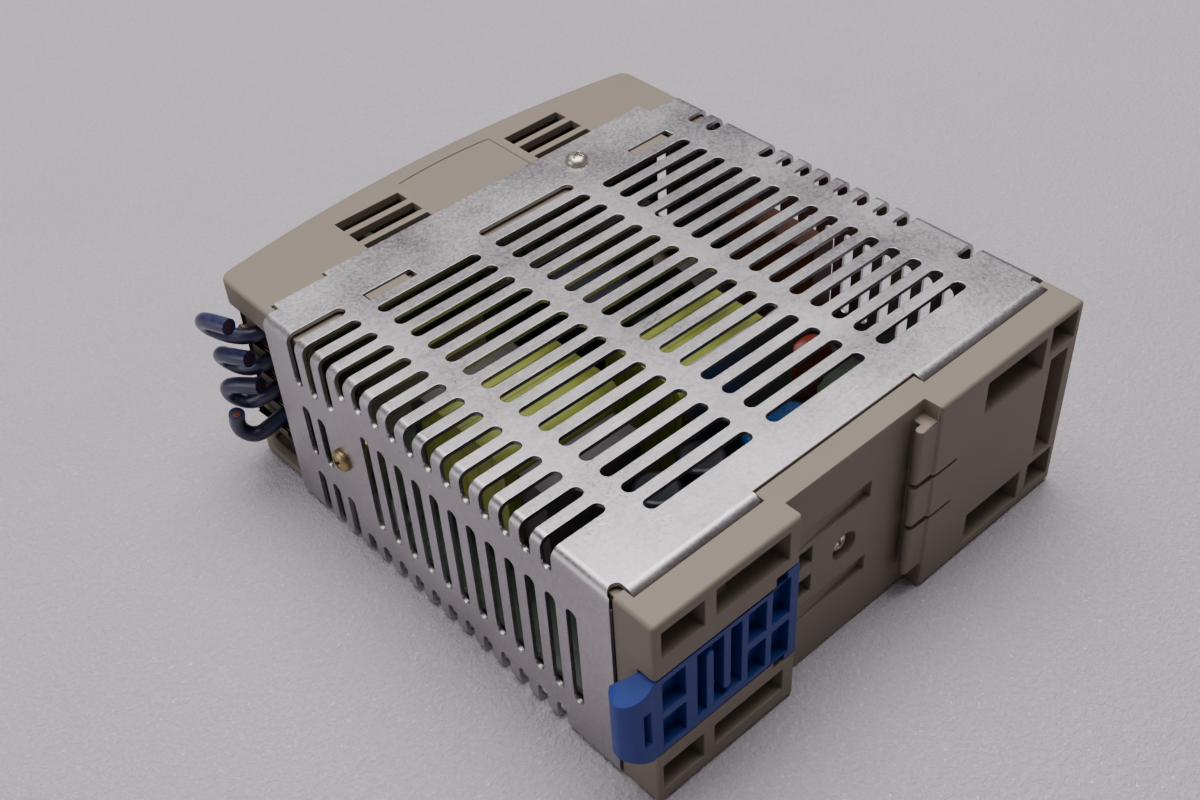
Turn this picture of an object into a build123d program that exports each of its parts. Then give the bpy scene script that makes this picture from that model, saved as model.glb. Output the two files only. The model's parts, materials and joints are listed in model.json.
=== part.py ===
"""DIN rail power supply lying on its side, in millimetres.

+X is the lower end of the unit (the end with the rail latch), -X the upper end.
+Y is the back, which clips on the rail, and -Y the front, with the terminals.
+Z is the vented side cover. The origin is under the middle of the unit, on the surface it lies on.

Places are given as distances from three faces of the case:
u from the lower end, v from the back and w from the vented side.
"""
from build123d import *
import math
import os

# ---- driving dimensions -------------------------------------------------------------------
LENGTH = 115.0          # lower end to upper end
DEPTH = 133.8           # back to the crown of the front
WIDTH = 48.3            # vented side to chassis side
TAB_OUT = 5.4           # how far the latch's thumb tab stands past the lower end

SHEET = 1.0             # cover sheet
BEND = 2.2              # outside bend radius of the cover
COVER_BACK = 9.4        # v of the cover's back edge
COVER_FRONT = 109.6     # v of the cover's front edge on its end faces
FACE_FRONT = 113.2      # v of the front edge of the vented face
LIP_V = 7.0             # v of the outside of the rear lips

SLOT_W = 2.7            # vent slots
SLOT_L = 25.1
SLOT_PITCH = 5.37       # slot to slot, along Y
SLOT_V0 = 19.4          # v of the slot nearest the back
COLUMN_U0 = 17.7        # u where the first full column starts
COLUMN_PITCH = 29.76    # column to column, along X

CATCH_U = (18.3, 90.1)  # u where the windows of the two front catches start
CATCH_L = 11.7          # length of those windows

SIDE_GAP = 0.45         # the plastic ends stand this much inside the cover's faces
WALL = 2.0              # plastic wall
RAIL_BED = 3.9          # v of the plane that the rail lies on
FOOT_LOW = 35.0         # u of the lower foot's rail side
FOOT_UP = 71.4          # u of the upper foot's rail side
HOOK_ROOT = 68.8        # u of the wall under the hook lips
HOOK_NOSE = 66.7        # u of the hook lips' noses
REAR_DEEP = 12.0        # v of the rear housing's inner edge

LATCH_W = (13.9, 33.9)  # w of the latch plate's two edges
LATCH_T = 3.6           # latch plate thickness
LATCH_TIP = 34.9        # u of the latch tip at rest

ARCH = 5.4              # rise of the arched front over its ends
SKIRT_V = 97.0          # v of the front housing's inner edge

BOARD_W = 42.6          # w of the circuit board's component side
BOARD_T = 1.6

WIRE_D = 3.5            # insulation diameter of the four leads

SIDE_SCREW = (79.6, 106.2)      # u and v
END_SCREW = (88.4, 24.0)        # v and w
BED_SCREW = (51.8, 24.0)        # u and w
SCREW_SINK = 2.6                # depth of the rail bed's screw well

# ---- case faces ---------------------------------------------------------------------------
X_LOW = (LENGTH - TAB_OUT) / 2
X_UP = X_LOW - LENGTH
Y_BACK = DEPTH / 2
MID_W = WIDTH / 2

os.makedirs("parts", exist_ok=True)


def place(u, v, w):
    """The point at distance u from the lower end, v from the back, w from the vented side."""
    return (X_LOW - u, Y_BACK - v, WIDTH - w)


def block(u, v, w, mode=Mode.ADD):
    """A box between two values each of u, v and w."""
    with Locations(place(sum(u) / 2, sum(v) / 2, sum(w) / 2)):
        Box(abs(u[1] - u[0]), abs(v[1] - v[0]), abs(w[1] - w[0]), mode=mode)


def save(builder, name):
    builder.part.label = name
    export_step(builder.part, f"parts/{name}.step")


def slot_v(k):
    """v of vent slot k, counted from the back."""
    return SLOT_V0 + SLOT_PITCH * k


FACE_PLANE = Plane.XY.offset(WIDTH)
FLOOR_PLANE = Plane.XY
LOW_PLANE = Plane(origin=(X_LOW, 0, 0), x_dir=(0, 1, 0), z_dir=(1, 0, 0))
UP_PLANE = Plane(origin=(X_UP, 0, 0), x_dir=(0, -1, 0), z_dir=(-1, 0, 0))


def face_slots(plane, u_span, ks, depth=SHEET * 2.6):
    """Cut stadium slots along X in the vented face or the floor flanges."""
    with BuildSketch(plane) as cut:
        for k in ks:
            with Locations((X_LOW - sum(u_span) / 2, Y_BACK - slot_v(k))):
                SlotOverall(u_span[1] - u_span[0], SLOT_W)
    extrude(cut.sketch, amount=-depth if plane is FACE_PLANE else depth, mode=Mode.SUBTRACT)


def end_slots(plane, w_span, ks, depth=SHEET * 2.6):
    """Cut stadium slots along Z in one of the cover's end faces."""
    side = 1 if plane is LOW_PLANE else -1
    with BuildSketch(plane) as cut:
        for k in ks:
            with Locations((side * (Y_BACK - slot_v(k)), WIDTH - sum(w_span) / 2)):
                SlotOverall(w_span[1] - w_span[0], SLOT_W, rotation=90)
    extrude(cut.sketch, amount=-depth, mode=Mode.SUBTRACT)


# ---- perforated cover: vented face, both ends and two floor flanges ------------------------
FLANGE = 11.0
with BuildPart() as perforated_cover:
    with BuildSketch(Plane.XZ.offset(-(Y_BACK - COVER_BACK))):
        with BuildLine():
            Polyline(
                (X_LOW - FLANGE, 0), (X_LOW, 0), (X_LOW, WIDTH), (X_UP, WIDTH), (X_UP, 0),
                (X_UP + FLANGE, 0), (X_UP + FLANGE, SHEET), (X_UP + SHEET, SHEET),
                (X_UP + SHEET, WIDTH - SHEET), (X_LOW - SHEET, WIDTH - SHEET),
                (X_LOW - SHEET, SHEET), (X_LOW - FLANGE, SHEET), (X_LOW - FLANGE, 0),
            )
        make_face()
        corners = vertices().filter_by(lambda p: abs(p.X - X_LOW) < 0.1 or abs(p.X - X_UP) < 0.1)
        fillet(corners, BEND)
        inner = vertices().filter_by(lambda p: min(abs(p.X - X_LOW + SHEET), abs(p.X - X_UP - SHEET)) < 0.1)
        fillet(inner, BEND - SHEET)
    extrude(amount=COVER_FRONT - COVER_BACK)
    # the vented face reaches further forward than the ends
    block((17.0, 105.0), (COVER_FRONT - 1, FACE_FRONT), (0, SHEET))
    block((4.0, 17.0), (COVER_FRONT - 1, 111.6), (0, SHEET))
    # corner reliefs beside the rear lips
    for u in (2.0, LENGTH - 2.0):
        with Locations(place(u, COVER_BACK, 0)):
            Cylinder(1.6, 8, mode=Mode.SUBTRACT)
    # rear lips, rolled over the plastic
    for u0, u1 in ((3.4, 32.8), (75.0, 112.2)):
        with BuildSketch(Plane.YZ.offset(X_LOW - u1)):
            root, edge, low = Y_BACK - COVER_BACK - 1, Y_BACK - LIP_V, WIDTH - 4.2
            with BuildLine():
                Polyline((root, WIDTH), (edge, WIDTH), (edge, low), (edge - SHEET, low),
                         (edge - SHEET, WIDTH - SHEET), (root, WIDTH - SHEET), close=True)
            make_face()
            fillet(vertices().sort_by_distance((edge, WIDTH)).first, BEND)
            fillet(vertices().sort_by_distance((edge - SHEET, WIDTH - SHEET)).first, BEND - SHEET)
        extrude(amount=u1 - u0)
    # four columns of slots; the first one wraps over the lower end
    face_slots(FACE_PLANE, (-4.0, 13.0), range(1, 16))
    end_slots(LOW_PLANE, (-4.0, 11.9), (13, 14, 15))
    end_slots(LOW_PLANE, (-4.0, 5.8), range(1, 13))
    for column, ks in enumerate((range(15), range(16), range(15))):
        start = COLUMN_U0 + COLUMN_PITCH * column
        face_slots(FACE_PLANE, (start, start + SLOT_L), ks)
    # catches of the front housing
    for u0 in CATCH_U:
        block((u0, u0 + CATCH_L), (slot_v(15) - SLOT_W / 2, slot_v(15) + SLOT_W / 2), (-1, 2),
              mode=Mode.SUBTRACT)
    # lower end: middle row, the short pair, and the row that wraps underneath
    end_slots(LOW_PLANE, (11.8, 36.8), range(0, 12))
    end_slots(LOW_PLANE, (17.5, 30.3), (14, 15))
    end_slots(LOW_PLANE, (35.6, WIDTH + 4), (13, 14, 15))
    end_slots(LOW_PLANE, (42.3, WIDTH + 4), range(1, 13))
    face_slots(FLOOR_PLANE, (-4.0, 8.0), range(1, 16))
    # upper end: wrapped slots and a middle row
    upper = (1, *range(4, 12), 14, 15)
    face_slots(FACE_PLANE, (LENGTH - 6.6, LENGTH + 4), upper)
    end_slots(UP_PLANE, (-4.0, 9.0), upper)
    end_slots(UP_PLANE, (13.5, 34.8), range(0, 12))
    # screw holes
    with Locations(place(*SIDE_SCREW, 0)):
        Cylinder(1.7, 8, mode=Mode.SUBTRACT)
    with Locations(Location(place(0, *END_SCREW), (0, 90, 0))):
        Cylinder(1.7, 8, mode=Mode.SUBTRACT)
save(perforated_cover, "perforated_cover")

# ---- rear housing: two feet, hook lips and the rail bed ------------------------------------
FULL_W = (SIDE_GAP, WIDTH - SIDE_GAP)
END_U = (0.6, LENGTH - 0.4)
INNER_W = (SHEET + 0.6, WIDTH - SHEET - 0.6)
INNER_U = (SHEET + 0.6, LENGTH - SHEET - 0.6)
# u span, w span and depth of the open pockets in the feet
FOOT_POCKETS = (
    ((2.5, 12.1), (3.0, 9.2), 5.8), ((14.8, 32.2), (2.6, 9.2), 5.8),
    ((2.0, 11.7), (37.9, 44.6), 5.8), ((14.4, 31.8), (38.2, 44.0), 5.8),
    ((85.4, 103.3), (3.4, 11.0), 5.8), ((105.0, 112.9), (1.9, 8.4), 5.8),
    ((106.2, 111.6), (10.4, 36.4), 7.0), ((105.2, 112.9), (37.9, 45.4), 5.8),
    ((85.0, 102.4), (37.7, 45.4), 5.8),
)
HOOK_LIPS = ((4.0, 17.1), (18.3, 28.0), (29.2, 41.4))
with BuildPart() as rear_housing:
    block(END_U, (RAIL_BED, 9.2), FULL_W)
    block((END_U[0], FOOT_LOW), (0, RAIL_BED + 1), FULL_W)
    block((FOOT_UP, END_U[1]), (0, RAIL_BED + 1), FULL_W)
    corner_edges = edges().filter_by(Axis.Y).filter_by(
        lambda e: min(abs(e.center().X - X_LOW + u) for u in END_U) < 0.1)
    fillet(corner_edges, 1.0)
    fillet(edges().group_by(Axis.Y)[-1], 0.8)
    block(INNER_U, (9.1, REAR_DEEP), INNER_W)
    # inside hollow, and grooves for the cover's rear lips
    block((4.0, LENGTH - 4.0), (7.6, REAR_DEEP + 1), (6.2, 42.1), mode=Mode.SUBTRACT)
    for u0, u1 in ((3.2, 33.0), (74.8, 112.4)):
        block((u0, u1), (LIP_V - 0.15, 9.6), (-1, 4.5), mode=Mode.SUBTRACT)
    # pockets; two of them have a raised floor at one end
    for u, w, depth in FOOT_POCKETS:
        block(u, (-1, depth), w, mode=Mode.SUBTRACT)
    block((14.5, 20.2), (3.2, 6.2), (2.3, 9.4))
    block((14.2, 20.8), (3.2, 6.2), (38.0, 44.3))
    # latch slideway, its side grooves and the notches for the tip
    block((-1, FOOT_LOW + 1), (-1, RAIL_BED), (LATCH_W[0] - 0.2, LATCH_W[1] + 0.2), mode=Mode.SUBTRACT)
    block((1.2, 28.6), (1.9, RAIL_BED), (LATCH_W[0] - 1.2, LATCH_W[1] + 1.2), mode=Mode.SUBTRACT)
    block((29.2, FOOT_LOW + 1), (-1, RAIL_BED), (LATCH_W[0] - 2.2, LATCH_W[1] + 1.8), mode=Mode.SUBTRACT)
    # wall and lips that hook over the rail
    block((HOOK_ROOT, FOOT_UP + 2), (1.5, RAIL_BED + 1), (HOOK_LIPS[0][0], HOOK_LIPS[-1][1]))
    for w0, w1 in HOOK_LIPS:
        nose = 0.95
        with BuildSketch(Plane.XY.offset(WIDTH - w1)):
            with Locations((X_LOW - HOOK_NOSE - nose, Y_BACK - 0.5 - nose)):
                Circle(nose)
            with Locations((X_LOW - (HOOK_NOSE + nose + FOOT_UP + 2) / 2, Y_BACK - 0.5 - nose)):
                Rectangle(FOOT_UP + 2 - HOOK_NOSE - nose, 2 * nose)
        extrude(amount=w1 - w0)
    for (_, w0), (w1, _) in zip(HOOK_LIPS, HOOK_LIPS[1:]):
        block((HOOK_NOSE - 1, FOOT_UP), (-1, RAIL_BED - 1.2), (w0, w1), mode=Mode.SUBTRACT)
        block((FOOT_UP - 1, 78.4), (-1, RAIL_BED), ((w0 + w1) / 2 - 0.3, (w0 + w1) / 2 + 0.3),
              mode=Mode.SUBTRACT)
    # rail bed: two ramped channels, two windows and the screw well
    for w0, w1 in ((11.7, 15.8), (31.2, 35.3)):
        with BuildSketch(Plane.XY.offset(WIDTH - w1)):
            with BuildLine():
                Polyline([place(u, v, 0)[:2] for u, v in
                          ((36.0, RAIL_BED), (58.2, RAIL_BED + 1.5),
                           (58.2, RAIL_BED - 1), (36.0, RAIL_BED - 1))], close=True)
            make_face()
        extrude(amount=w1 - w0, mode=Mode.SUBTRACT)
    for w0, w1 in ((16.9, 21.1), (24.3, 28.8)):
        block((38.4, 42.8), (RAIL_BED - 1, REAR_DEEP), (w0, w1), mode=Mode.SUBTRACT)
    for radius, depth in ((3.1, RAIL_BED + SCREW_SINK), (1.5, REAR_DEEP)):
        with Locations(Location(place(BED_SCREW[0], depth / 2, BED_SCREW[1]), (90, 0, 0))):
            Cylinder(radius, depth, mode=Mode.SUBTRACT)
save(rear_housing, "rear_housing")

# ---- rail latch: plate, folded spring, ears and thumb tab ----------------------------------
CELLS = (((2.3, 7.6), (15.4, 23.0)), ((2.3, 7.6), (24.9, 32.4)),
         ((22.5, 26.9), (15.2, 23.0)), ((22.5, 26.9), (25.0, 32.8)),
         ((28.4, 32.8), (14.0, 23.0)), ((28.4, 32.8), (25.0, 33.8)))
TAB_W = (LATCH_W[0] + 0.1, LATCH_W[1])
with BuildPart() as rail_latch:
    block((-0.6, LATCH_TIP), (0, LATCH_T), LATCH_W)
    block((4.0, 25.8), (2.1, LATCH_T), (LATCH_W[0] - 1.0, LATCH_W[1] + 1.0))
    block((31.9, LATCH_TIP), (0, LATCH_T), (LATCH_W[0] - 2.0, LATCH_W[1] + 1.6))
    # thumb tab: a curved lever, narrower at its end
    with BuildSketch(Plane.XY.offset(WIDTH - TAB_W[1])):
        with BuildLine():
            start = place(0.5, 0.0, 0)[:2]
            crown = place(-TAB_OUT, 2.6, 0)[:2]
            heel = place(-3.6, 6.2, 0)[:2]
            root = place(0.4, LATCH_T, 0)[:2]
            ThreePointArc(start, place(-3.9, 0.6, 0)[:2], crown)
            ThreePointArc(crown, place(-5.1, 4.6, 0)[:2], heel)
            Polyline(heel, place(-2.4, 5.4, 0)[:2], root, start)
        make_face()
    extrude(amount=TAB_W[1] - TAB_W[0])
    for w_edge, slope in ((TAB_W[0], 1), (TAB_W[1], -1)):
        with BuildSketch(Plane.XZ.offset(-Y_BACK - 1)):
            with BuildLine():
                Polyline((X_LOW - 0.2, WIDTH - w_edge + slope), (X_LOW - 0.2, WIDTH - w_edge),
                         (X_LOW + TAB_OUT + 1, WIDTH - w_edge - slope * 3.4),
                         (X_LOW + TAB_OUT + 1, WIDTH - w_edge + slope), close=True)
            make_face()
        extrude(amount=9, mode=Mode.SUBTRACT)
    # screwdriver slot in the tab
    with Locations(Location(place(-1.6, 0.6, MID_W), (0, 0, 20))):
        Box(1.5, 4.0, 8.6, mode=Mode.SUBTRACT)
    for u, w in CELLS:
        block(u, (-1, 2.6), w, mode=Mode.SUBTRACT)
    # folded spring: three slots joined round two rounded bars
    block((10.3, 20.9), (-1, 2.8), (15.3, 31.5), mode=Mode.SUBTRACT)
    for u_bar, w0, w1 in ((13.3, 17.6, 31.6), (17.4, 15.2, 29.2)):
        block((u_bar - 0.85, u_bar + 0.85), (0, 2.9), (w0, w1))
        tip = w0 if w0 > 16 else w1
        with Locations(Location(place(u_bar, 1.45, tip), (90, 0, 0))):
            Cylinder(0.85, 2.9)
save(rail_latch, "rail_latch")

# ---- front housing: arched hood with vents, catches and terminal pockets -------------------
HOOD_U = (1.5, LENGTH - 0.6)
HOOD_HALF = (HOOD_U[1] - HOOD_U[0]) / 2
ARCH_R = (HOOD_HALF ** 2 + ARCH ** 2) / (2 * ARCH)
VENT_V = (124.2, 118.9, 113.6)
VENT_GROUPS = ((28.6, 45.2), (75.0, 90.6))
POLES = [11.5 + 7.4 * k for k in range(5)]          # output terminals, w of each
INPUTS = [12.0 + 9.4 * k for k in range(3)]         # mains terminals
BLOCK_V = (113.0, 128.6)                            # terminal blocks
MOUTH_V = (117.0, 122.4)                            # mouths that the leads go into
MOUTH_HALF = 2.6
TRIM_AT = (30.0, 13.0)                              # u and w of the voltage trimmer
LAMPS = ((37.5, 10.0), (37.5, 16.0))                # u and w of the two light pipes


def hood_face(inset, v_back):
    """Outline of the hood in plan, moved in from its outer surface by inset."""
    with BuildSketch() as outline:
        with BuildLine():
            left = place(HOOD_U[1] - inset, DEPTH - ARCH - inset, 0)[:2]
            right = place(HOOD_U[0] + inset, DEPTH - ARCH - inset, 0)[:2]
            ThreePointArc(left, place(sum(HOOD_U) / 2, DEPTH - inset, 0)[:2], right)
            Polyline(right, place(HOOD_U[0] + inset, v_back, 0)[:2],
                     place(HOOD_U[1] - inset, v_back, 0)[:2], left)
        make_face()
        fillet(outline.vertices().group_by(Axis.Y)[0], max(3.2 - inset, 0.6))
    return outline.sketch


with BuildPart() as front_housing:
    hood = hood_face(0, COVER_FRONT + 0.15)
    extrude(hood.moved(Location((0, 0, SIDE_GAP))), amount=WIDTH - 2 * SIDE_GAP)
    front_edges = edges().filter_by(lambda e: e.center().Y < Y_BACK - COVER_FRONT - 3).filter_by(
        lambda e: min(abs(e.center().Z - SIDE_GAP), abs(e.center().Z - WIDTH + SIDE_GAP)) < 0.01)
    fillet(front_edges, 0.9)
    block(INNER_U, (SKIRT_V, COVER_FRONT + 1), INNER_W)
    # hollow inside
    cavity = hood_face(WALL, SKIRT_V - 1)
    extrude(cavity.moved(Location((0, 0, SIDE_GAP + WALL))), amount=WIDTH - 2 * SIDE_GAP - 2 * WALL,
            mode=Mode.SUBTRACT)
    # steps that the cover's front edge lies in
    block((16.8, 105.2), (COVER_FRONT, FACE_FRONT + 0.2), (-1, SHEET + 0.15), mode=Mode.SUBTRACT)
    block((3.6, 17.0), (COVER_FRONT, 111.8), (-1, SHEET + 0.15), mode=Mode.SUBTRACT)
    # catches that spring out through the cover
    for u0 in CATCH_U:
        block((u0 + 0.4, u0 + CATCH_L - 1.4), (slot_v(15) - 1.15, slot_v(15) + 1.15), (0.35, 2.0))
    # vents and the shallow panel between them
    for group in VENT_GROUPS:
        for v in VENT_V:
            block(group, (v - 1.75, v + 1.75), (-1, SIDE_GAP + WALL + 1), mode=Mode.SUBTRACT)
    with BuildSketch(Plane.XY.offset(WIDTH - SIDE_GAP - 0.35)):
        with BuildLine():
            a, b = place(72.6, 128.6, 0)[:2], place(47.4, 128.6, 0)[:2]
            ThreePointArc(a, place(60, 129.3, 0)[:2], b)
            Polyline(b, place(47.4, 112, 0)[:2], place(72.6, 112, 0)[:2], a)
        make_face()
    extrude(amount=1, mode=Mode.SUBTRACT)
    # terminal pockets at both ends, open to the end and through windows in the front
    block((-1, 19.5), (BLOCK_V[0] - 0.3, BLOCK_V[1] + 0.3), (6.5, 45.3), mode=Mode.SUBTRACT)
    block((LENGTH - 19.5, LENGTH + 1), (BLOCK_V[0] - 0.3, BLOCK_V[1] + 0.3), (6.0, 37.0),
          mode=Mode.SUBTRACT)
    for w in POLES:
        block((5.6, 15.5), (BLOCK_V[1], DEPTH + 1), (w - 2.9, w + 2.9), mode=Mode.SUBTRACT)
    for w in INPUTS:
        block((LENGTH - 15.5, LENGTH - 5.6), (BLOCK_V[1], DEPTH + 1), (w - 3.4, w + 3.4),
              mode=Mode.SUBTRACT)
    # fins that keep neighbouring leads apart in front of the output terminals
    for w in POLES[:-1]:
        block((3.5, 4.98), (BLOCK_V[0] - 1, BLOCK_V[1] + 1), (w + 3.6, w + 4.6))
    # boss for the side screw, trimmer and lamp holes
    with Locations(place(*SIDE_SCREW, SHEET + 0.2 + 4)):
        Cylinder(3.4, 8)
        Cylinder(1.55, 8.1, mode=Mode.SUBTRACT)
    for (u, w), radius in ((TRIM_AT, 3.2), (LAMPS[0], 1.55), (LAMPS[1], 1.55)):
        with Locations(Location(place(u, DEPTH, w), (90, 0, 0))):
            Cylinder(radius, 12, mode=Mode.SUBTRACT)
save(front_housing, "front_housing")

# ---- chassis plate under the board ---------------------------------------------------------
PLATE_W = (WIDTH - SHEET - 1.2, WIDTH - SHEET - 0.05)
with BuildPart() as chassis_plate:
    block((2.6, LENGTH - 2.6), (12.4, SKIRT_V - 0.4), PLATE_W)
    fillet(edges().filter_by(Axis.Z), 2)
    with BuildSketch(Plane.XY.offset(WIDTH - PLATE_W[1] - 0.5)):
        with Locations(place(LENGTH / 2, 54.0, 0)[:2]), GridLocations(COLUMN_PITCH, SLOT_PITCH * 2, 3, 6):
            SlotOverall(SLOT_L, SLOT_W)
    extrude(amount=3, mode=Mode.SUBTRACT)
save(chassis_plate, "chassis_plate")

# ---- screws ----------------------------------------------------------------------------------


def pan_screw(name, location, head_r=2.5, head_h=1.6, shank=7.0):
    """Cross-recess pan head screw; location is under its head, with +Z out of the head."""
    with BuildPart() as screw:
        with BuildSketch(Plane.XZ):
            with BuildLine():
                Polyline((0, head_h), (0, -shank), (1.1, -shank), (1.4, -shank + 0.5), (1.4, 0),
                         (head_r, 0), (head_r, head_h * 0.45))
                ThreePointArc((head_r, head_h * 0.45), (head_r * 0.72, head_h * 0.88), (0, head_h))
            make_face()
        revolve(axis=Axis.Z)
        for angle in (0, 90):
            with Locations(Location((0, 0, head_h), (0, 0, angle))):
                Box(head_r * 1.15, 0.6, 1.8, mode=Mode.SUBTRACT)
    screw.part.move(location)
    save(screw, name)


pan_screw("side_screw", Location(place(*SIDE_SCREW, 0), (0, 0, 25)))
pan_screw("end_screw", Location(place(0, *END_SCREW), (0, 90, 0)) * Location((0, 0, 0), (0, 0, 40)))
pan_screw("rail_bed_screw",
          Location(place(BED_SCREW[0], RAIL_BED + SCREW_SINK, BED_SCREW[1]), (-90, 0, 0))
          * Location((0, 0, 0), (0, 0, 20)),
          head_r=2.4, shank=5)

# ---- bracket that the end screw bites into ---------------------------------------------------
with BuildPart() as end_bracket:
    block((SHEET + 0.1, SHEET + 1.6), (83.0, 94.0), (16.0, PLATE_W[0] - 0.05))
    block((SHEET + 0.1, 10.0), (83.0, 94.0), (PLATE_W[0] - 1.4, PLATE_W[0] - 0.05))
    with Locations(Location(place(2, *END_SCREW), (0, 90, 0))):
        Cylinder(1.5, 6, mode=Mode.SUBTRACT)
save(end_bracket, "end_bracket")

# ---- circuit board, standoffs and insulation -------------------------------------------------
STANDOFFS = ((16.0, 24.0), (100.0, 24.0), (16.0, 92.0), (100.0, 92.0))
with BuildPart() as main_board:
    block((11.0, 111.0), (14.0, 106.0), (BOARD_W, BOARD_W + BOARD_T))
    block((5.0, 11.1), (14.0, 80.0), (BOARD_W, BOARD_W + BOARD_T))
save(main_board, "main_board")
with BuildPart() as insulation_sheet:
    block((12.0, 111.0), (14.0, 106.0), (BOARD_W + BOARD_T + 0.5, BOARD_W + BOARD_T + 0.8))
    for u, v in STANDOFFS:
        with Locations(place(u, v, BOARD_W + 2)):
            Cylinder(3.2, 8, mode=Mode.SUBTRACT)
save(insulation_sheet, "insulation_sheet")
for number, (u, v) in enumerate(STANDOFFS, start=1):
    with BuildPart() as standoff:
        height = PLATE_W[0] - BOARD_W - BOARD_T - 0.04
        with Locations(place(u, v, BOARD_W + BOARD_T + 0.02 + height / 2)):
            Cylinder(2.6, height)
    save(standoff, f"board_standoff_{number}")


def on_board(u, v, top, name, fillet_r=0.0):
    """A plain rectangular component standing on the board."""
    with BuildPart() as piece:
        block(u, v, (top, BOARD_W))
        if fillet_r:
            fillet(piece.edges(), fillet_r)
    save(piece, name)


# ---- transformer: ferrite core round a taped winding -----------------------------------------
with BuildPart() as transformer_winding:
    block((14.0, 44.0), (54.0, 80.0), (11.0, 38.0))
    fillet(edges().filter_by(Axis.X), 5.0)
save(transformer_winding, "transformer_winding")
with BuildPart() as transformer_core:
    block((17.0, 41.0), (46.0, 88.0), (16.0, 33.0))
    block((14.0, 44.0), (53.8, 80.2), (10.0, 39.0), mode=Mode.SUBTRACT)
    for v in (46.0, 81.0):
        block((17.0, 41.0), (v, v + 7.0), (33.0, BOARD_W))
save(transformer_core, "transformer_core_ends")

# ---- inductors -----------------------------------------------------------------------------
with BuildPart() as boost_choke:
    block((52.0, 80.0), (46.0, 68.0), (13.0, BOARD_W))
    fillet(edges().filter_by(Axis.X), 3.0)
save(boost_choke, "boost_choke")
with BuildPart() as line_filter:
    with Locations(Location(place(97.6, 88.0, 34.6), (0, 90, 0))):
        Cylinder(8.0, 10.8)
        Cylinder(3.0, 10.8, mode=Mode.SUBTRACT)
save(line_filter, "line_filter")
with BuildPart() as output_choke:
    with Locations(place(22.0, 31.5, BOARD_W - 6)):
        Cylinder(8.5, 12.0)
        Cylinder(3.0, 12.0, mode=Mode.SUBTRACT)
    fillet(edges().group_by(Axis.Z)[-1], 1.5)
save(output_choke, "output_choke")

# ---- capacitors: round cans with a rolled groove ----------------------------------------------


def can(name, u, v, radius, top):
    with BuildPart() as capacitor:
        height = BOARD_W - top
        with Locations(place(u, v, top + height / 2)):
            Cylinder(radius, height)
        fillet(capacitor.edges().group_by(Axis.Z)[-1], min(1.2, radius / 4))
        with BuildSketch(Plane.XY.offset(WIDTH - BOARD_W + 2.5)):
            with Locations(place(u, v, 0)[:2]):
                Circle(radius + 1)
                Circle(radius - 0.5, mode=Mode.SUBTRACT)
        extrude(amount=1.2, mode=Mode.SUBTRACT)
    save(capacitor, name)


can("bulk_capacitor_1", 66.0, 31.0, 9.0, 22.0)
can("bulk_capacitor_2", 62.0, 84.0, 9.0, 12.0)
can("output_capacitor_1", 36.0, 24.5, 5.0, 22.0)
can("output_capacitor_2", 48.0, 24.5, 5.0, 22.0)
can("output_capacitor_3", 37.0, 37.5, 5.0, 22.0)
can("output_capacitor_4", 49.0, 37.5, 5.0, 22.0)
on_board((103.5, 110.5), (58.0, 84.0), 13.0, "film_capacitor", 0.6)
on_board((84.0, 90.0), (66.0, 76.0), 30.0, "mains_fuse", 0.6)
with BuildPart() as varistor:
    with Locations(Location(place(90.0, 47.0, 30.0), (90, 0, 0))):
        Cylinder(7.0, 4.0)
    fillet(edges(), 1.2)
    block((86.5, 93.5), (46.4, 47.6), (34.0, BOARD_W))
save(varistor, "varistor")

# ---- heat sinks with their power devices ------------------------------------------------------


def heat_sink(name, u, v, top, fins):
    """An upright plate, with short fins on its front side where fins is true."""
    with BuildPart() as sink:
        block(u, v, (top, BOARD_W))
        pitch = 4.0
        for k in range(int((u[1] - u[0]) / pitch) if fins else 0):
            u0 = u[0] + pitch * (k + 0.25)
            block((u0, u0 + 1.3), (v[1] - 0.1, v[1] + 4.0), (top, BOARD_W - 4))
    save(sink, name)


heat_sink("output_heat_sink", (14.0, 56.0), (15.2, 17.5), 10.0, False)
heat_sink("primary_heat_sink", (46.0, 92.0), (96.0, 98.5), 12.0, True)
heat_sink("bridge_heat_sink", (52.0, 81.0), (43.0, 44.8), 6.0, False)
on_board((24.0, 34.0), (17.6, 19.2), 20.0, "output_rectifier", 0.3)
on_board((72.0, 82.0), (94.2, 95.9), 20.0, "switching_transistor", 0.3)

# ---- terminal blocks and their screws ---------------------------------------------------------


def terminal_block(name, u_span, mouth, wells, pole_w):
    """A row of screw terminals: square mouths for the leads and round wells for the screws."""
    with BuildPart() as body:
        block(u_span, BLOCK_V, (wells[0] - pole_w, wells[-1] + pole_w))
        for w in wells:
            depth = (mouth - 0.1, mouth + 14.1) if mouth < LENGTH / 2 else (mouth - 12.0, mouth + 0.1)
            block(depth, MOUTH_V, (w - MOUTH_HALF, w + MOUTH_HALF), mode=Mode.SUBTRACT)
            if mouth < LENGTH / 2:  # room for a lead that turns aside at once
                side = min(w + 3.6, wells[-1] + 2.9)
                block((mouth - 0.1, mouth + 4.0), MOUTH_V, (w - MOUTH_HALF, side), mode=Mode.SUBTRACT)
            with Locations(Location(place(sum(u_span) / 2, BLOCK_V[1] - 3, w), (90, 0, 0))):
                Cylinder(2.6, 6.02, mode=Mode.SUBTRACT)
    save(body, name)


terminal_block("output_terminal_block", (5.0, 19.0), 5.0, POLES, 3.65)
terminal_block("input_terminal_block", (LENGTH - 19.0, LENGTH - 5.0), LENGTH - 5.0, INPUTS, 4.65)


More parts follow.
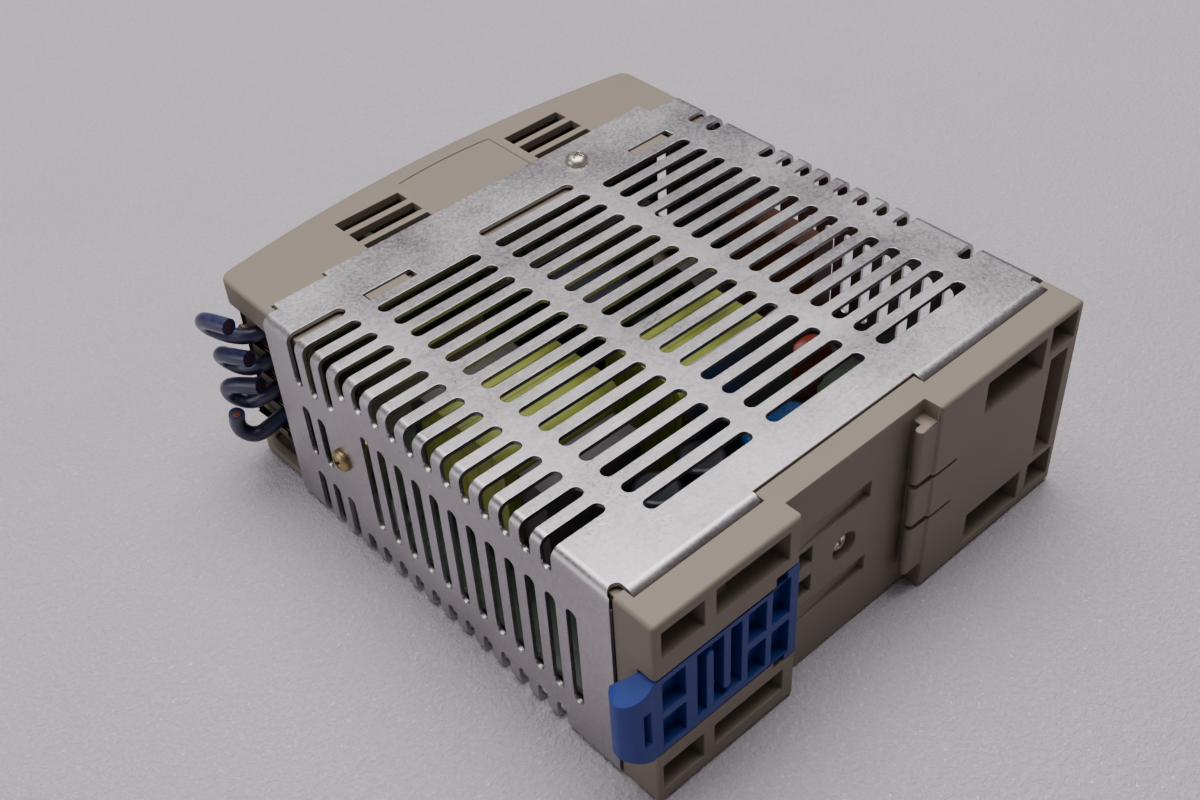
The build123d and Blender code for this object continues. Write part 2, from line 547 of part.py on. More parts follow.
def terminal_screw(name, u, w):
    with BuildPart() as screw:
        with Locations(Location(place(u, BLOCK_V[1] - 3.4, w), (90, 0, 0))):
            Cylinder(2.5, 5.0)
        block((u - 2.3, u + 2.3), (BLOCK_V[1] - 1.9, BLOCK_V[1]), (w - 0.4, w + 0.4), mode=Mode.SUBTRACT)
    save(screw, name)


for number, w in enumerate(POLES, start=1):
    terminal_screw(f"output_screw_{number}", 12.0, w)
for number, w in enumerate(INPUTS, start=1):
    terminal_screw(f"input_screw_{number}", LENGTH - 12.0, w)

# ---- trimmer, light pipes and the blank front label -------------------------------------------


def hood_v(u):
    """v of the hood's outer surface at distance u from the lower end."""
    return DEPTH - ARCH_R + math.sqrt(ARCH_R ** 2 - (u - sum(HOOD_U) / 2) ** 2)


with BuildPart() as trimmer_body:
    block((TRIM_AT[0] - 4.5, TRIM_AT[0] + 4.5), (120.0, 126.0), (TRIM_AT[1] - 4.5, TRIM_AT[1] + 4.5))
save(trimmer_body, "trimmer_body")
with BuildPart() as voltage_trimmer:
    with Locations(Location(place(TRIM_AT[0], (126.3 + 131.0) / 2, TRIM_AT[1]), (90, 0, 0))):
        Cylinder(2.6, 131.0 - 126.3)
    block((TRIM_AT[0] - 2.2, TRIM_AT[0] + 2.2), (130.0, 131.5), (TRIM_AT[1] - 0.4, TRIM_AT[1] + 0.4),
          mode=Mode.SUBTRACT)
save(voltage_trimmer, "voltage_trimmer")
for name, (u, w) in zip(("dc_on_light_pipe", "dc_low_light_pipe"), LAMPS):
    with BuildPart() as light_pipe:
        front = hood_v(u) + 0.3
        with Locations(Location(place(u, (121.0 + front) / 2, w), (90, 0, 0))):
            Cylinder(1.5, front - 121.0)
        fillet(edges().group_by(Axis.Y)[0], 0.4)
    save(light_pipe, name)
with BuildPart() as front_label:
    extrude(hood_face(-0.25, COVER_FRONT).moved(Location((0, 0, 8.0))), amount=WIDTH - 16.0)
    extrude(hood_face(0.0, COVER_FRONT - 1).moved(Location((0, 0, 7.0))), amount=WIDTH - 14.0,
            mode=Mode.SUBTRACT)
    block((-5, 46), (100, DEPTH + 2), (0, WIDTH), mode=Mode.SUBTRACT)
    block((94, LENGTH + 5), (100, DEPTH + 2), (0, WIDTH), mode=Mode.SUBTRACT)
save(front_label, "front_label")

# ---- four cut lead stubs, held in the output terminals ----------------------------------------
# each route starts in its terminal, leaves the pocket and turns back over itself
ROUTES = (
    ((18.6, 119.6, 11.5), (12.6, 119.9, 11.5), (6.6, 119.6, 11.8), (1.8, 121.4, 12.7),
     (-0.7, 125.4, 13.1), (-3.2, 128.6, 11.4), (-4.9, 127.4, 7.7), (-4.5, 122.9, 5.9),
     (-3.3, 118.2, 5.3)),
    ((18.6, 119.6, 18.9), (12.6, 119.9, 19.0), (6.6, 119.6, 19.2), (2.0, 121.1, 20.5),
     (0.5, 124.9, 22.6), (-1.5, 128.4, 21.3), (-3.2, 127.4, 17.6), (-2.6, 122.8, 16.0),
     (-1.0, 118.0, 15.0)),
    ((18.6, 119.6, 26.3), (12.6, 119.9, 26.4), (6.6, 119.6, 26.8), (2.0, 120.8, 28.3),
     (-0.4, 124.0, 31.0), (-3.0, 127.4, 29.8), (-4.0, 126.6, 25.6), (-2.3, 122.3, 23.8),
     (-0.2, 117.8, 22.7)),
    ((18.6, 119.7, 33.7), (12.6, 119.9, 33.7), (6.8, 119.6, 34.1), (2.0, 120.4, 36.0),
     (-2.4, 122.0, 38.5), (-5.4, 124.2, 35.3), (-5.2, 122.2, 30.2)),
)
for number, route in enumerate(ROUTES, start=1):
    points = [Vector(*place(*p)) for p in route]
    runs = [(b - a).length for a, b in zip(points, points[1:])]
    radii = []
    for k in range(1, len(points) - 1):
        turn = math.radians((points[k] - points[k - 1]).get_angle(points[k + 1] - points[k]))
        radii.append(0.45 * min(runs[k - 1], runs[k]) / math.tan(turn / 2))
    with BuildPart() as lead:
        with BuildLine() as path:
            FilletPolyline(points, radius=radii)
        with BuildSketch(Plane(origin=points[0], z_dir=points[1] - points[0])):
            Circle(WIRE_D / 2)
        sweep(path=path.line)
    section = math.pi * (WIRE_D / 2) ** 2 * path.wire().length
    print(f"lead {number}: {path.wire().length:.1f} mm, volume {lead.part.volume / section:.3f} of its",
          "section times length, radii", [round(r, 1) for r in radii])
    save(lead, f"lead_stub_{number}")
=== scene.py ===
# %% [markdown]
# # A rail-mounted power supply, lying on its side
#
# The real unit is a folded sheet cover with long cooling slots, clipped round a plastic
# front hood and a plastic rear housing that hooks on a rail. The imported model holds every
# piece at its true size and place. This file gives the pieces their looks: it bends the
# cut leads, eases the edges, puts copper in the leads' ends, and makes each finish out of
# nodes. Everything is in metres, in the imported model's own frame.

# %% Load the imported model
import json
import math

import bpy
from mathutils import Matrix, Vector


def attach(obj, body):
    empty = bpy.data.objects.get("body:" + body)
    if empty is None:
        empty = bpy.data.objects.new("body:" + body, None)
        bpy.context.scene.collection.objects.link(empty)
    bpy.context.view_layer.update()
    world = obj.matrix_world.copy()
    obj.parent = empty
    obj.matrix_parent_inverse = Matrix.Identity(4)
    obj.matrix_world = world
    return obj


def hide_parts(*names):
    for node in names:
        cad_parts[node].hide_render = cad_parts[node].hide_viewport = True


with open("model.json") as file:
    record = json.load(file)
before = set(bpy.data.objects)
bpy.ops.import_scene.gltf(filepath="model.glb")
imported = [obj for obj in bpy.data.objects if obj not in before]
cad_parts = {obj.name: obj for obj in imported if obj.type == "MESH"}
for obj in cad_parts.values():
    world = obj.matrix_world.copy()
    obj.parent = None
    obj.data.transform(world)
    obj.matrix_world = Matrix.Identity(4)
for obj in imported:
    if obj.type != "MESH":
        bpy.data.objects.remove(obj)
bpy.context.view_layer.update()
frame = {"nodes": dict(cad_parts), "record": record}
nodes = frame["nodes"]
MM = 0.001

# %% [markdown]
# ## Where things are
#
# The design measures from the lower end (u), from the rail side (v) and from the vented
# side cover (w). The same three numbers are handy here for the places that no single
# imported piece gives, so one small function turns them into a point of the frame.

# %% From the design's distances to a point
LOWER_END = 54.8   # X of the case's lower end, mm
RAIL_SIDE = 66.9   # Y of the rearmost faces, mm
VENTED_SIDE = 48.3  # Z of the side cover, mm


def place(u, v, w):
    """A point u from the lower end, v from the rail side and w under the side cover."""
    return Vector((LOWER_END - u, RAIL_SIDE - v, VENTED_SIDE - w)) * MM


# %% [markdown]
# ## The camera
#
# The camera stands low over the corner where the latch is, close enough for the near edges
# to spread. It is described as a person would place it: where the eye is, what it looks
# at, and a small tilt of the head.

# %% Camera
EYE = Vector((0.1512, 0.1750, 0.2252))
AIM = Vector((0.00722, 0.00161, 0.0241))
TILT = math.radians(3.88)

LENS = 44.4     # focal length, mm
SENSOR = 36     # width of the sensor, mm

camera_data = bpy.data.cameras.new("camera")
camera_data.lens = LENS
camera_data.sensor_width = SENSOR
camera = bpy.data.objects.new("camera", camera_data)
bpy.context.scene.collection.objects.link(camera)
look = (AIM - EYE).to_track_quat("-Z", "Y").to_matrix() @ Matrix.Rotation(-TILT, 3, "Z")
camera.matrix_world = Matrix.Translation(EYE) @ look.to_4x4()
bpy.context.scene.camera = camera
print("eye to case", round((EYE - AIM).length, 3), "m")

# %% [markdown]
# ## The cut leads
#
# Four short leads were left in the output terminals when the unit came out of its cabinet.
# They are stiff, so each keeps the hook that somebody bent into it. A curve with a round
# bevel is the natural way to make a lead: its own line is the centre of the wire, and an
# order of 3 makes that line smooth through the whole bend.

# %% The leads' routes and their curves
LEAD_THICKNESS = 3.5 * MM
LEAD_ROUTES = (
    ((18.6, 119.6, 11.5), (12.6, 119.9, 11.5), (6.6, 119.6, 11.8), (1.8, 121.4, 12.7),
     (-0.7, 125.4, 13.1), (-3.2, 128.6, 11.4), (-4.9, 127.4, 7.7), (-4.5, 122.9, 5.9),
     (-3.3, 118.2, 5.3)),
    ((18.6, 119.6, 18.9), (12.6, 119.9, 19.0), (6.6, 119.6, 19.2), (2.0, 121.1, 20.5),
     (0.5, 124.9, 22.6), (-1.5, 128.4, 21.3), (-3.2, 127.4, 17.6), (-2.6, 122.8, 16.0),
     (-1.0, 118.0, 15.0)),
    ((18.6, 119.6, 26.3), (12.6, 119.9, 26.4), (6.6, 119.6, 26.8), (2.0, 120.8, 28.3),
     (-0.4, 124.0, 31.0), (-3.0, 127.4, 29.8), (-4.0, 126.6, 25.6), (-2.3, 122.3, 23.8),
     (-0.2, 117.8, 22.7)),
    ((18.6, 119.7, 33.7), (12.6, 119.9, 33.7), (6.8, 119.6, 34.1), (2.0, 120.4, 36.0),
     (-2.4, 122.0, 38.5), (-5.4, 124.2, 35.3), (-5.2, 122.2, 30.2)),
)


def bend_lead(name, route):
    """A round wire along the route, with flat cut ends."""
    curve = bpy.data.curves.new(name, "CURVE")
    curve.dimensions = "3D"
    curve.bevel_depth = LEAD_THICKNESS / 2
    curve.bevel_resolution = 8
    curve.resolution_u = 10
    curve.use_fill_caps = True
    spline = curve.splines.new("NURBS")
    spline.points.add(len(route) - 1)
    for point, (u, v, w) in zip(spline.points, route):
        point.co = (*place(u, v, w), 1)
    spline.order_u = 3
    spline.use_endpoint_u = True
    lead = bpy.data.objects.new(name, curve)
    bpy.context.scene.collection.objects.link(lead)
    return lead


def centre_line(lead):
    """Points along the lead's own smooth line, read from the curve without its bevel."""
    bare = lead.copy()
    bare.data = lead.data.copy()
    bare.data.bevel_depth = 0
    line = bpy.data.meshes.new_from_object(bare)
    points = [vertex.co.copy() for vertex in line.vertices]
    bpy.data.objects.remove(bare)
    return points


leads = []
for number, route in enumerate(LEAD_ROUTES, start=1):
    leads.append(bend_lead(f"cut_lead_{number}", route))
print(len(leads), "lead curves")

# %% [markdown]
# ## Modelling helpers
#
# The pieces below are modelled the way a person would with the mouse: add a primitive, go
# into edit mode, and extrude or bevel it, or add a modifier and apply it. Everything is
# deselected first, because an operator works on all that is selected. A finished piece has
# its place in its mesh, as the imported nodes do, so that patterns stay where they belong.

# %% Selecting, adding and finishing
def only(piece):
    """Makes this piece the one that is active and selected."""
    bpy.ops.object.select_all(action="DESELECT")
    piece.select_set(True)
    bpy.context.view_layer.objects.active = piece
    return piece


def added(name):
    """Names the primitive that was just added."""
    piece = bpy.context.object
    piece.name = piece.data.name = name
    return piece


def apply_modifier(piece, kind, **settings):
    """Adds a modifier with these settings and applies it at once."""
    only(piece)
    modifier = piece.modifiers.new(kind.lower(), kind)
    for key, value in settings.items():
        setattr(modifier, key, value)
    bpy.ops.object.modifier_apply(modifier=modifier.name)


def settle(piece, smooth_angle=35):
    """Puts the piece's place into its mesh and smooths its shallow edges."""
    only(piece)
    bpy.ops.object.transform_apply(location=True, rotation=True, scale=True)
    bpy.ops.object.shade_smooth_by_angle(angle=math.radians(smooth_angle))
    return piece


def join(pieces, name):
    """Several pieces as one mesh."""
    only(pieces[0])
    for piece in pieces:
        piece.select_set(True)
    bpy.ops.object.join()
    return added(name)


# %% [markdown]
# ## Eased edges
#
# A saw-sharp edge never shows on a real part. The sheet's punched slots have a rolled
# rim that catches the light as a thin bright line, and a moulding has a small round on
# every corner, or it could not leave its mould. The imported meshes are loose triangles
# with sharp edges, so a copy of each outer piece is merged and a Bevel modifier rounds
# its edges. The cover's flats are first dissolved into large faces, so that the bevel has
# less to cut through; on the mouldings that would leave long faces that shade badly. A
# Weighted Normal modifier lets the large faces set the shading, so that flats look flat.
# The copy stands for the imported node.

# %% Copies with rounded edges
MERGE_DISTANCE = 2e-6
FLAT_WITHIN = math.radians(0.6)
SHARP_FROM = math.radians(28)
SMOOTH_BELOW = 40        # degrees
LARGE_FACE_WEIGHT = 80


def ease(node, name, width_mm, body="case", large_faces=False):
    """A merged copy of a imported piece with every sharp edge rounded."""
    piece = bpy.data.objects.new(name, nodes[node].data.copy())
    bpy.context.scene.collection.objects.link(piece)
    only(piece)
    bpy.ops.object.mode_set(mode="EDIT")
    bpy.ops.mesh.select_all(action="SELECT")
    bpy.ops.mesh.remove_doubles(threshold=MERGE_DISTANCE)
    if large_faces:
        bpy.ops.mesh.dissolve_limited(angle_limit=FLAT_WITHIN)
    bpy.ops.object.mode_set(mode="OBJECT")
    apply_modifier(piece, "BEVEL", width=width_mm * MM, segments=2,
                   limit_method="ANGLE", angle_limit=SHARP_FROM,
                   use_clamp_overlap=False, loop_slide=False)
    settle(piece, SMOOTH_BELOW)
    apply_modifier(piece, "WEIGHTED_NORMAL", weight=LARGE_FACE_WEIGHT, keep_sharp=True)
    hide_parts(node)
    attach(piece, body)
    print(name, len(piece.data.polygons), "faces")
    return piece


cover = ease("perforated_cover", "cover_shell", 0.14, large_faces=True)
hood = ease("front_housing", "front_hood", 0.16)
base = ease("rear_housing", "rail_base", 0.22)
latch = ease("rail_latch", "sliding_latch", 0.16, body="latch")
cover_screw = ease("side_screw", "cover_screw", 0.10)
bracket_screw = ease("end_screw", "bracket_screw", 0.10)
bed_screw = ease("rail_bed_screw", "bed_screw", 0.10)

# %% [markdown]
# ## Copper in the cut ends
#
# A cut lead shows its conductor: seven drawn strands in the middle of the insulation,
# nipped off a little proud of it. A strand is a circle, filled, extruded and rounded on its
# rim. One is modelled upright, and its copies, each with a mesh of its own, are set in a
# ring round it. The bundle is then turned to the lead's last direction and moved to its end.

# %% Strand bundles
STRANDS_ROUND = 6
STRAND_RADIUS = 0.27 * MM
STRAND_LENGTH = 1.4 * MM
STRAND_PROUD = 0.06 * MM
RIM_ROUND = 0.35  # of the radius


def strand(name):
    """One upright strand that ends just above the origin."""
    bpy.ops.object.select_all(action="DESELECT")
    bpy.ops.mesh.primitive_circle_add(vertices=14, radius=STRAND_RADIUS, fill_type="NGON",
                                      location=(0, 0, STRAND_PROUD - STRAND_LENGTH))
    bpy.ops.object.mode_set(mode="EDIT")
    bpy.ops.mesh.extrude_region_move(TRANSFORM_OT_translate={"value": (0, 0, STRAND_LENGTH)})
    bpy.ops.mesh.bevel(offset=STRAND_RADIUS * RIM_ROUND, segments=2, affect="EDGES")
    bpy.ops.mesh.select_all(action="SELECT")
    bpy.ops.mesh.normals_make_consistent(inside=False)
    bpy.ops.object.mode_set(mode="OBJECT")
    return settle(added(name))


def strand_bundle(name, end, direction):
    """Seven strands at the end of a lead, pointing in its direction."""
    middle = strand(name)
    ring = []
    for number in range(STRANDS_ROUND):
        angle = number * math.tau / STRANDS_ROUND
        copy = middle.copy()
        copy.data = middle.data.copy()
        copy.location = Vector((math.cos(angle), math.sin(angle), 0)) * 2 * STRAND_RADIUS
        bpy.context.scene.collection.objects.link(copy)
        ring.append(settle(copy))
    bundle = join([*ring, middle], name)
    turn = direction.to_track_quat("Z", "Y").to_matrix().to_4x4()
    bundle.matrix_world = Matrix.Translation(end) @ turn
    return settle(bundle)


bundles = []
for number, lead in enumerate(leads, start=1):
    line = centre_line(lead)
    bundle = strand_bundle(f"lead_copper_{number}", line[-1], (line[-1] - line[-3]).normalized())
    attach(bundle, "case")
    bundles.append(bundle)
print(len(bundles), "strand bundles")

# %% [markdown]
# ## A way to write shader maths
#
# A finish is a graph of nodes, and the sums in it read best as sums. `Link` wraps one
# output socket, so that an expression such as `1 - mask * 0.3` adds its Math nodes.
# Any other node comes from `Finish.node`, which takes the node's type, its settings and
# what goes into its sockets.

# %% Link and Finish
class Link:
    """An output socket that can be used in an expression."""

    def __init__(self, finish, socket):
        self.finish, self.socket = finish, socket

    def maths(self, operation, a, b):
        return self.finish.node("Math", {"operation": operation}, {0: a, 1: b})

    def __add__(self, other):
        return self.maths("ADD", self, other)

    def __radd__(self, other):
        return self.maths("ADD", other, self)

    def __sub__(self, other):
        return self.maths("SUBTRACT", self, other)

    def __rsub__(self, other):
        return self.maths("SUBTRACT", other, self)

    def __mul__(self, other):
        return self.maths("MULTIPLY", self, other)

    def __rmul__(self, other):
        return self.maths("MULTIPLY", other, self)

    def __mod__(self, other):
        return self.maths("FLOORED_MODULO", self, other)


class Finish:
    """One material, built node by node."""

    def __init__(self, name):
        self.material = bpy.data.materials.new(name)
        self.material.use_nodes = True
        self.tree = self.material.node_tree
        self.tree.nodes.clear()

    def node(self, kind, settings=None, inputs=None, output=0):
        """A node of this kind: settings first, then the values or links of its sockets."""
        made = self.tree.nodes.new("ShaderNode" + kind)
        for key, value in (settings or {}).items():
            if key == "stops":
                while len(made.color_ramp.elements) < len(value):
                    made.color_ramp.elements.new(1)
                for element, (position, shade) in zip(made.color_ramp.elements, value):
                    element.position, element.color = position, (shade, shade, shade, 1)
            else:
                setattr(made, key, value)
        for key, value in (inputs or {}).items():
            if isinstance(value, Link):
                self.tree.links.new(value.socket, made.inputs[key])
            else:
                made.inputs[key].default_value = value
        return None if output is None else Link(self, made.outputs[output])

    def place(self, scale=(1, 1, 1), turn=(0, 0, 0), shift=(0, 0, 0)):
        """Where a point is on the piece, stretched, turned and shifted."""
        point = self.node("TexCoord", output="Object")
        return self.node("Mapping", None, {"Vector": point, "Location": shift, "Rotation": turn,
                                           "Scale": scale})

    def noise(self, size_mm, detail=2.0, rough=0.5, at=None):
        """Cloudy noise from 0 to 1, whose blotches are about this many millimetres."""
        vector = at or self.place()
        return self.node("TexNoise", None, {"Vector": vector, "Scale": 1000 / size_mm,
                                            "Detail": detail, "Roughness": rough})

    def ramp(self, value, *stops):
        """Turns a value into another by (position, grey) stops."""
        return self.node("ValToRGB", {"stops": stops}, {"Fac": value})

    def blend(self, amount, first, second):
        """A colour between two colours."""
        return self.node("Mix", {"data_type": "RGBA"}, {0: amount, 6: first, 7: second}, 2)

    def bump(self, height, strength, depth_mm, normal=None):
        """The surface's normal, tilted by a height that varies."""
        inputs = {"Height": height, "Strength": strength, "Distance": depth_mm * MM}
        if normal:
            inputs["Normal"] = normal
        return self.node("Bump", None, inputs)

    def shade(self, **sockets):
        """Ends the graph in a Principled shader with these sockets."""
        inputs = {key.replace("_", " "): value for key, value in sockets.items()}
        shader = self.node("BsdfPrincipled", None, inputs)
        self.node("OutputMaterial", None, {"Surface": shader}, None)
        return self.material


def colour(red, green, blue):
    """A colour as a shader socket takes it."""
    return (red, green, blue, 1)


# %% [markdown]
# ## The folded sheet
#
# The cover is coated sheet metal: bright, but grained rather than polished, because the
# coat set in fine grains and the rolls left their mark along it. Handling adds hairline
# scratches in a few directions. The grain varies the colour and the roughness together,
# and only a faint bump is needed, since the eye reads such fine relief as gloss.

# %% Coated sheet
def scratches(finish, turn, spacing_mm, length_mm, width=0.03):
    """Hairlines that run one way: 1 on a scratch and 0 beside it."""
    stretched = finish.place(scale=(spacing_mm / length_mm, 1, 1), turn=turn)
    lines = finish.node("TexNoise", None, {"Vector": stretched, "Scale": 1000 / spacing_mm,
                                           "Detail": 1.0, "Distortion": 0.2})
    return finish.ramp(lines, (0.5 - width, 0), (0.5, 1), (0.5 + width, 0))


def coated_sheet():
    sheet = Finish("coated_sheet")
    grain = sheet.ramp(sheet.noise(0.6, 4.0, 0.7), (0.30, 0), (0.70, 1))
    clouds = sheet.ramp(sheet.noise(26.0, 3.0), (0.32, 0), (0.68, 1))
    wear = sheet.noise(9.0, 2.0)
    rolled = sheet.noise(0.5, 3.0, 0.6, at=sheet.place(scale=(0.06, 1, 1)))
    hairs = scratches(sheet, (0, 0, 0.5), 3.0, 34.0, 0.008)
    more_hairs = scratches(sheet, (0, 0, -0.9), 4.0, 26.0, 0.007)
    marks = (hairs + more_hairs) * sheet.ramp(wear, (0.48, 0), (0.66, 1))
    tone = grain * 0.45 + clouds * 0.3 + rolled * 0.25
    dull = sheet.blend(tone, colour(0.26, 0.245, 0.256), colour(0.55, 0.522, 0.542))
    shown = sheet.blend(marks * 0.5, dull, colour(0.72, 0.71, 0.72))
    rough = 0.24 + grain * 0.15 + clouds * 0.12 - marks * 0.08
    normal = sheet.bump(grain + rolled * 0.6 + marks * 1.5, 0.16, 0.03)
    return sheet.shade(Base_Color=shown, Metallic=1.0, Roughness=rough, Normal=normal)


# %% [markdown]
# ## Mouldings
#
# Case plastic is textured in the mould by spark erosion, which leaves an even, very fine
# grain and a soft sheen. One function serves every moulded piece: a colour, how much it
# shines and how deep its grain is.

# %% Moulded plastic
def moulded(name, base_colour, shine=0.5, grain_mm=0.35, depth=0.25, spread=0.07):
    """A grained moulding: spread is how far its tone wanders."""
    plastic = Finish(name)
    grain = plastic.noise(grain_mm, 3.0, 0.6)
    clouds = plastic.noise(18.0, 3.0)
    dark = colour(*(c * (1 - spread * 1.4) for c in base_colour))
    light = colour(*(min(1, c * (1 + spread)) for c in base_colour))
    tone = plastic.blend(grain * 0.45 + clouds * 0.55, dark, light)
    normal = plastic.bump(grain, depth, 0.04)
    return plastic.shade(Base_Color=tone, Roughness=(1 - shine) + grain * 0.12 - 0.04,
                         Normal=normal, IOR=1.48)


# %% [markdown]
# ## Plated screws, sheet aluminium and the small parts inside
#
# Plating is bright with soft clouds in it. The wound parts are wrapped in polyester
# tape, whose layers end in overlapping turns, so its finish has broad soft bands. The
# capacitors' sleeves are shrunk plastic and shine.

# %% Plated, wound, sleeved and soldered finishes
def plated(name, low, high, rough=0.24):
    """Bright plating with a little tarnish."""
    metal = Finish(name)
    clouds = metal.noise(1.2, 4.0, 0.6)
    fine = metal.noise(0.12, 3.0, 0.6)
    tone = metal.blend(clouds, colour(*low), colour(*high))
    normal = metal.bump(fine, 0.12, 0.02)
    return metal.shade(Base_Color=tone, Metallic=1.0, Roughness=rough + clouds * 0.14,
                       Normal=normal)


def winding_tape():
    tape = Finish("winding_tape")
    across = tape.node("SeparateXYZ", None, {0: tape.place()}, "Y")
    turn = tape.ramp((across * 210) % 1.0, (0.0, 0), (0.06, 1), (0.94, 1), (1.0, 0))
    creases = tape.noise(2.4, 3.0)
    yellow = tape.blend(creases, colour(0.20, 0.235, 0.035), colour(0.34, 0.38, 0.08))
    shown = tape.blend(turn, colour(0.11, 0.13, 0.02), yellow)
    normal = tape.bump(turn * 0.6 + creases * 0.5, 0.35, 0.12)
    return tape.shade(Base_Color=shown, Roughness=0.24 + creases * 0.12, Normal=normal)


def glass_fibre_board():
    board = Finish("board")
    weave = board.node("TexWave", {"wave_type": "BANDS", "bands_direction": "DIAGONAL"},
                       {"Vector": board.place(), "Scale": 900.0, "Distortion": 0.4})
    tracks = board.ramp(board.noise(7.0, 1.0), (0.49, 0), (0.52, 1))
    green = board.blend(weave * 0.25, colour(0.016, 0.030, 0.018), colour(0.032, 0.055, 0.034))
    shown = board.blend(tracks * 0.5, green, colour(0.045, 0.075, 0.045))
    return board.shade(Base_Color=shown, Roughness=0.38 + weave * 0.06,
                       Normal=board.bump(tracks, 0.3, 0.05))


def lead_insulation():
    skin = Finish("lead_insulation")
    streaks = skin.noise(0.5, 3.0)
    dust = skin.ramp(skin.noise(1.6, 4.0, 0.7), (0.45, 0), (0.7, 1))
    blue = skin.blend(streaks, colour(0.006, 0.008, 0.040), colour(0.013, 0.016, 0.075))
    shown = skin.blend(dust * 0.30, blue, colour(0.070, 0.066, 0.095))
    return skin.shade(Base_Color=shown, Roughness=0.34 + dust * 0.18, IOR=1.5,
                      Normal=skin.bump(streaks, 0.15, 0.05), Coat_Weight=0.25,
                      Coat_Roughness=0.2)


materials = {
    "coated_sheet": coated_sheet(),
    "housing_plastic": moulded("housing_plastic", (0.178, 0.145, 0.110), 0.44, 0.4, 0.35, 0.10),
    "latch_plastic": moulded("latch_plastic", (0.001, 0.022, 0.185), 0.50, 0.4, 0.2, 0.12),
    "plated_screw": plated("plated_screw", (0.50, 0.44, 0.34), (0.78, 0.74, 0.66)),
    "board": glass_fibre_board(),
    "insulation": moulded("insulation", (0.06, 0.06, 0.06), 0.5, 0.5, 0.1),
    "winding_tape": winding_tape(),
    "ferrite": moulded("ferrite", (0.075, 0.07, 0.07), 0.35, 0.25, 0.4, 0.2),
    "film_case": moulded("film_case", (0.13, 0.045, 0.022), 0.6, 0.6, 0.1, 0.2),
    "varistor_coat": moulded("varistor_coat", (0.22, 0.03, 0.02), 0.72, 0.9, 0.25, 0.15),
    "heat_sink": plated("heat_sink", (0.20, 0.20, 0.21), (0.36, 0.36, 0.38), 0.36),
    "device_epoxy": moulded("device_epoxy", (0.03, 0.03, 0.032), 0.55, 0.2, 0.3, 0.2),
    # the terminal block is the housing's beige, made darker: the darkening is painted shade for
    # the pocket round the leads' roots
    "terminal_plastic": moulded("terminal_plastic", (0.115, 0.095, 0.075), 0.45),
    "light_pipe": moulded("light_pipe", (0.50, 0.62, 0.42), 0.8, 0.8, 0.05),
    "label_film": moulded("label_film", (0.58, 0.56, 0.52), 0.6, 0.5, 0.05),
    "lead_insulation": lead_insulation(),
    "copper_strand": plated("copper_strand", (0.075, 0.020, 0.014), (0.30, 0.095, 0.055), 0.40),
    "dark_sleeve": moulded("dark_sleeve", (0.014, 0.016, 0.024), 0.72, 2.0, 0.08, 0.1),
    "capacitor_sleeve": moulded("capacitor_sleeve", (0.006, 0.05, 0.19), 0.74, 2.0, 0.08, 0.1),
}
print(len(materials), "finishes")

# %% [markdown]
# ## Painting
#
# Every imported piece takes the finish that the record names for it, and so does each copy
# that stands for one.

# %% Give every piece its finish
def paint(piece, slot):
    """The piece wears this finish all over."""
    piece.data.materials.clear()
    piece.data.materials.append(materials[slot])


for part in frame["record"]["subparts"]:
    nodes[part["node"]].data.materials.clear()
    nodes[part["node"]].data.materials.append(materials[part["material_slot"]])
paint(cover, "coated_sheet")
paint(hood, "housing_plastic")
paint(base, "housing_plastic")
paint(latch, "latch_plastic")
for screw in (cover_screw, bracket_screw, bed_screw):
    paint(screw, "plated_screw")
# the screw at the lower end has yellow plating
bracket_screw.data.materials[0] = plated("yellow_plate", (0.20, 0.145, 0.065),
                                         (0.48, 0.37, 0.19), 0.30)
for bundle in bundles:
    paint(bundle, "copper_strand")

# %% Leads painted, standing in for the imported stubs
for number, (lead, bundle) in enumerate(zip(leads, bundles), start=1):
    line = centre_line(lead)
    paint(lead, "lead_insulation")
    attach(lead, "case")
    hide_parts(f"lead_stub_{number}")

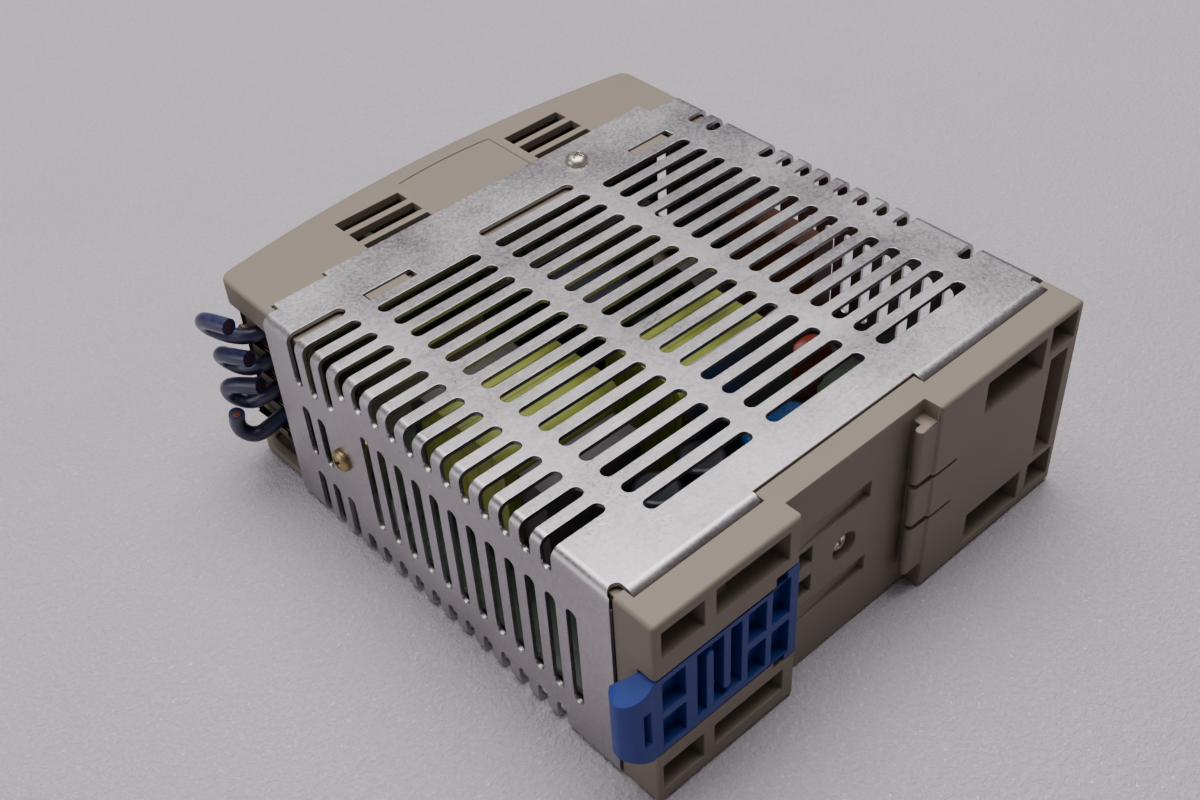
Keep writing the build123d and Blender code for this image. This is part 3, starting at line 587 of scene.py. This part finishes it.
# %% [markdown]
# ## Floor and light
#
# The unit lies on a pale foam sheet under the wide soft light of a workshop ceiling. One
# very large lamp overhead gives the broad sheen on the sheet, a weaker one in front opens
# the shadows, and the world adds the light that comes from all round.

# %% Stage
FLOOR_SIZE = 6  # metres

bpy.ops.object.select_all(action="DESELECT")
bpy.ops.mesh.primitive_plane_add(size=FLOOR_SIZE, location=(0, 0, 0))
floor = added("floor")
ground = Finish("foam_sheet")
speckle = ground.ramp(ground.noise(1.1, 4.0, 0.7), (0.36, 0), (0.66, 1))
cells = ground.noise(2.6, 3.0, 0.6)
drift = ground.noise(60.0, 2.0)
# sparkle spots in the foam: their lower roughness is real gloss, and the whiter base colour
# blended onto them below is a painted highlight
gloss_and_painted_glint = ground.ramp(ground.noise(0.7, 2.0, 0.5), (0.60, 0), (0.68, 1))
pale = ground.blend(speckle * 0.4 + cells * 0.2 + drift * 0.4, colour(0.48, 0.443, 0.482),
                    colour(0.66, 0.61, 0.662))
# painted highlight: the sparkle spots are lightened in the base colour
pale = ground.blend(gloss_and_painted_glint * 0.45, pale, colour(0.86, 0.84, 0.87))
floor.data.materials.append(ground.shade(Base_Color=pale, Roughness=0.50 - gloss_and_painted_glint * 0.32,
                                         Normal=ground.bump(speckle + cells, 0.8, 0.8)))


def lamp(name, spot, aim, size, power, tint=(1, 1, 1)):
    """A square soft light that faces its aim."""
    light = bpy.data.lights.new(name, "AREA")
    light.size = size
    light.energy = power
    light.color = tint
    holder = bpy.data.objects.new(name, light)
    holder.location = spot
    holder.rotation_euler = (Vector(aim) - Vector(spot)).to_track_quat("-Z", "Y").to_euler()
    bpy.context.scene.collection.objects.link(holder)


lamp("ceiling", (-0.16, -0.20, 1.2), (0, 0, 0), 1.1, 30, (1, 0.975, 0.985))
lamp("window", (1.2, -0.5, 0.45), (0, 0, 0.02), 0.8, 4.5, (0.97, 0.97, 1))
world = bpy.data.worlds.new("room")
bpy.context.scene.world = world
world.use_nodes = True
world.node_tree.nodes["Background"].inputs["Color"].default_value = colour(0.82, 0.80, 0.84)
world.node_tree.nodes["Background"].inputs["Strength"].default_value = 0.22
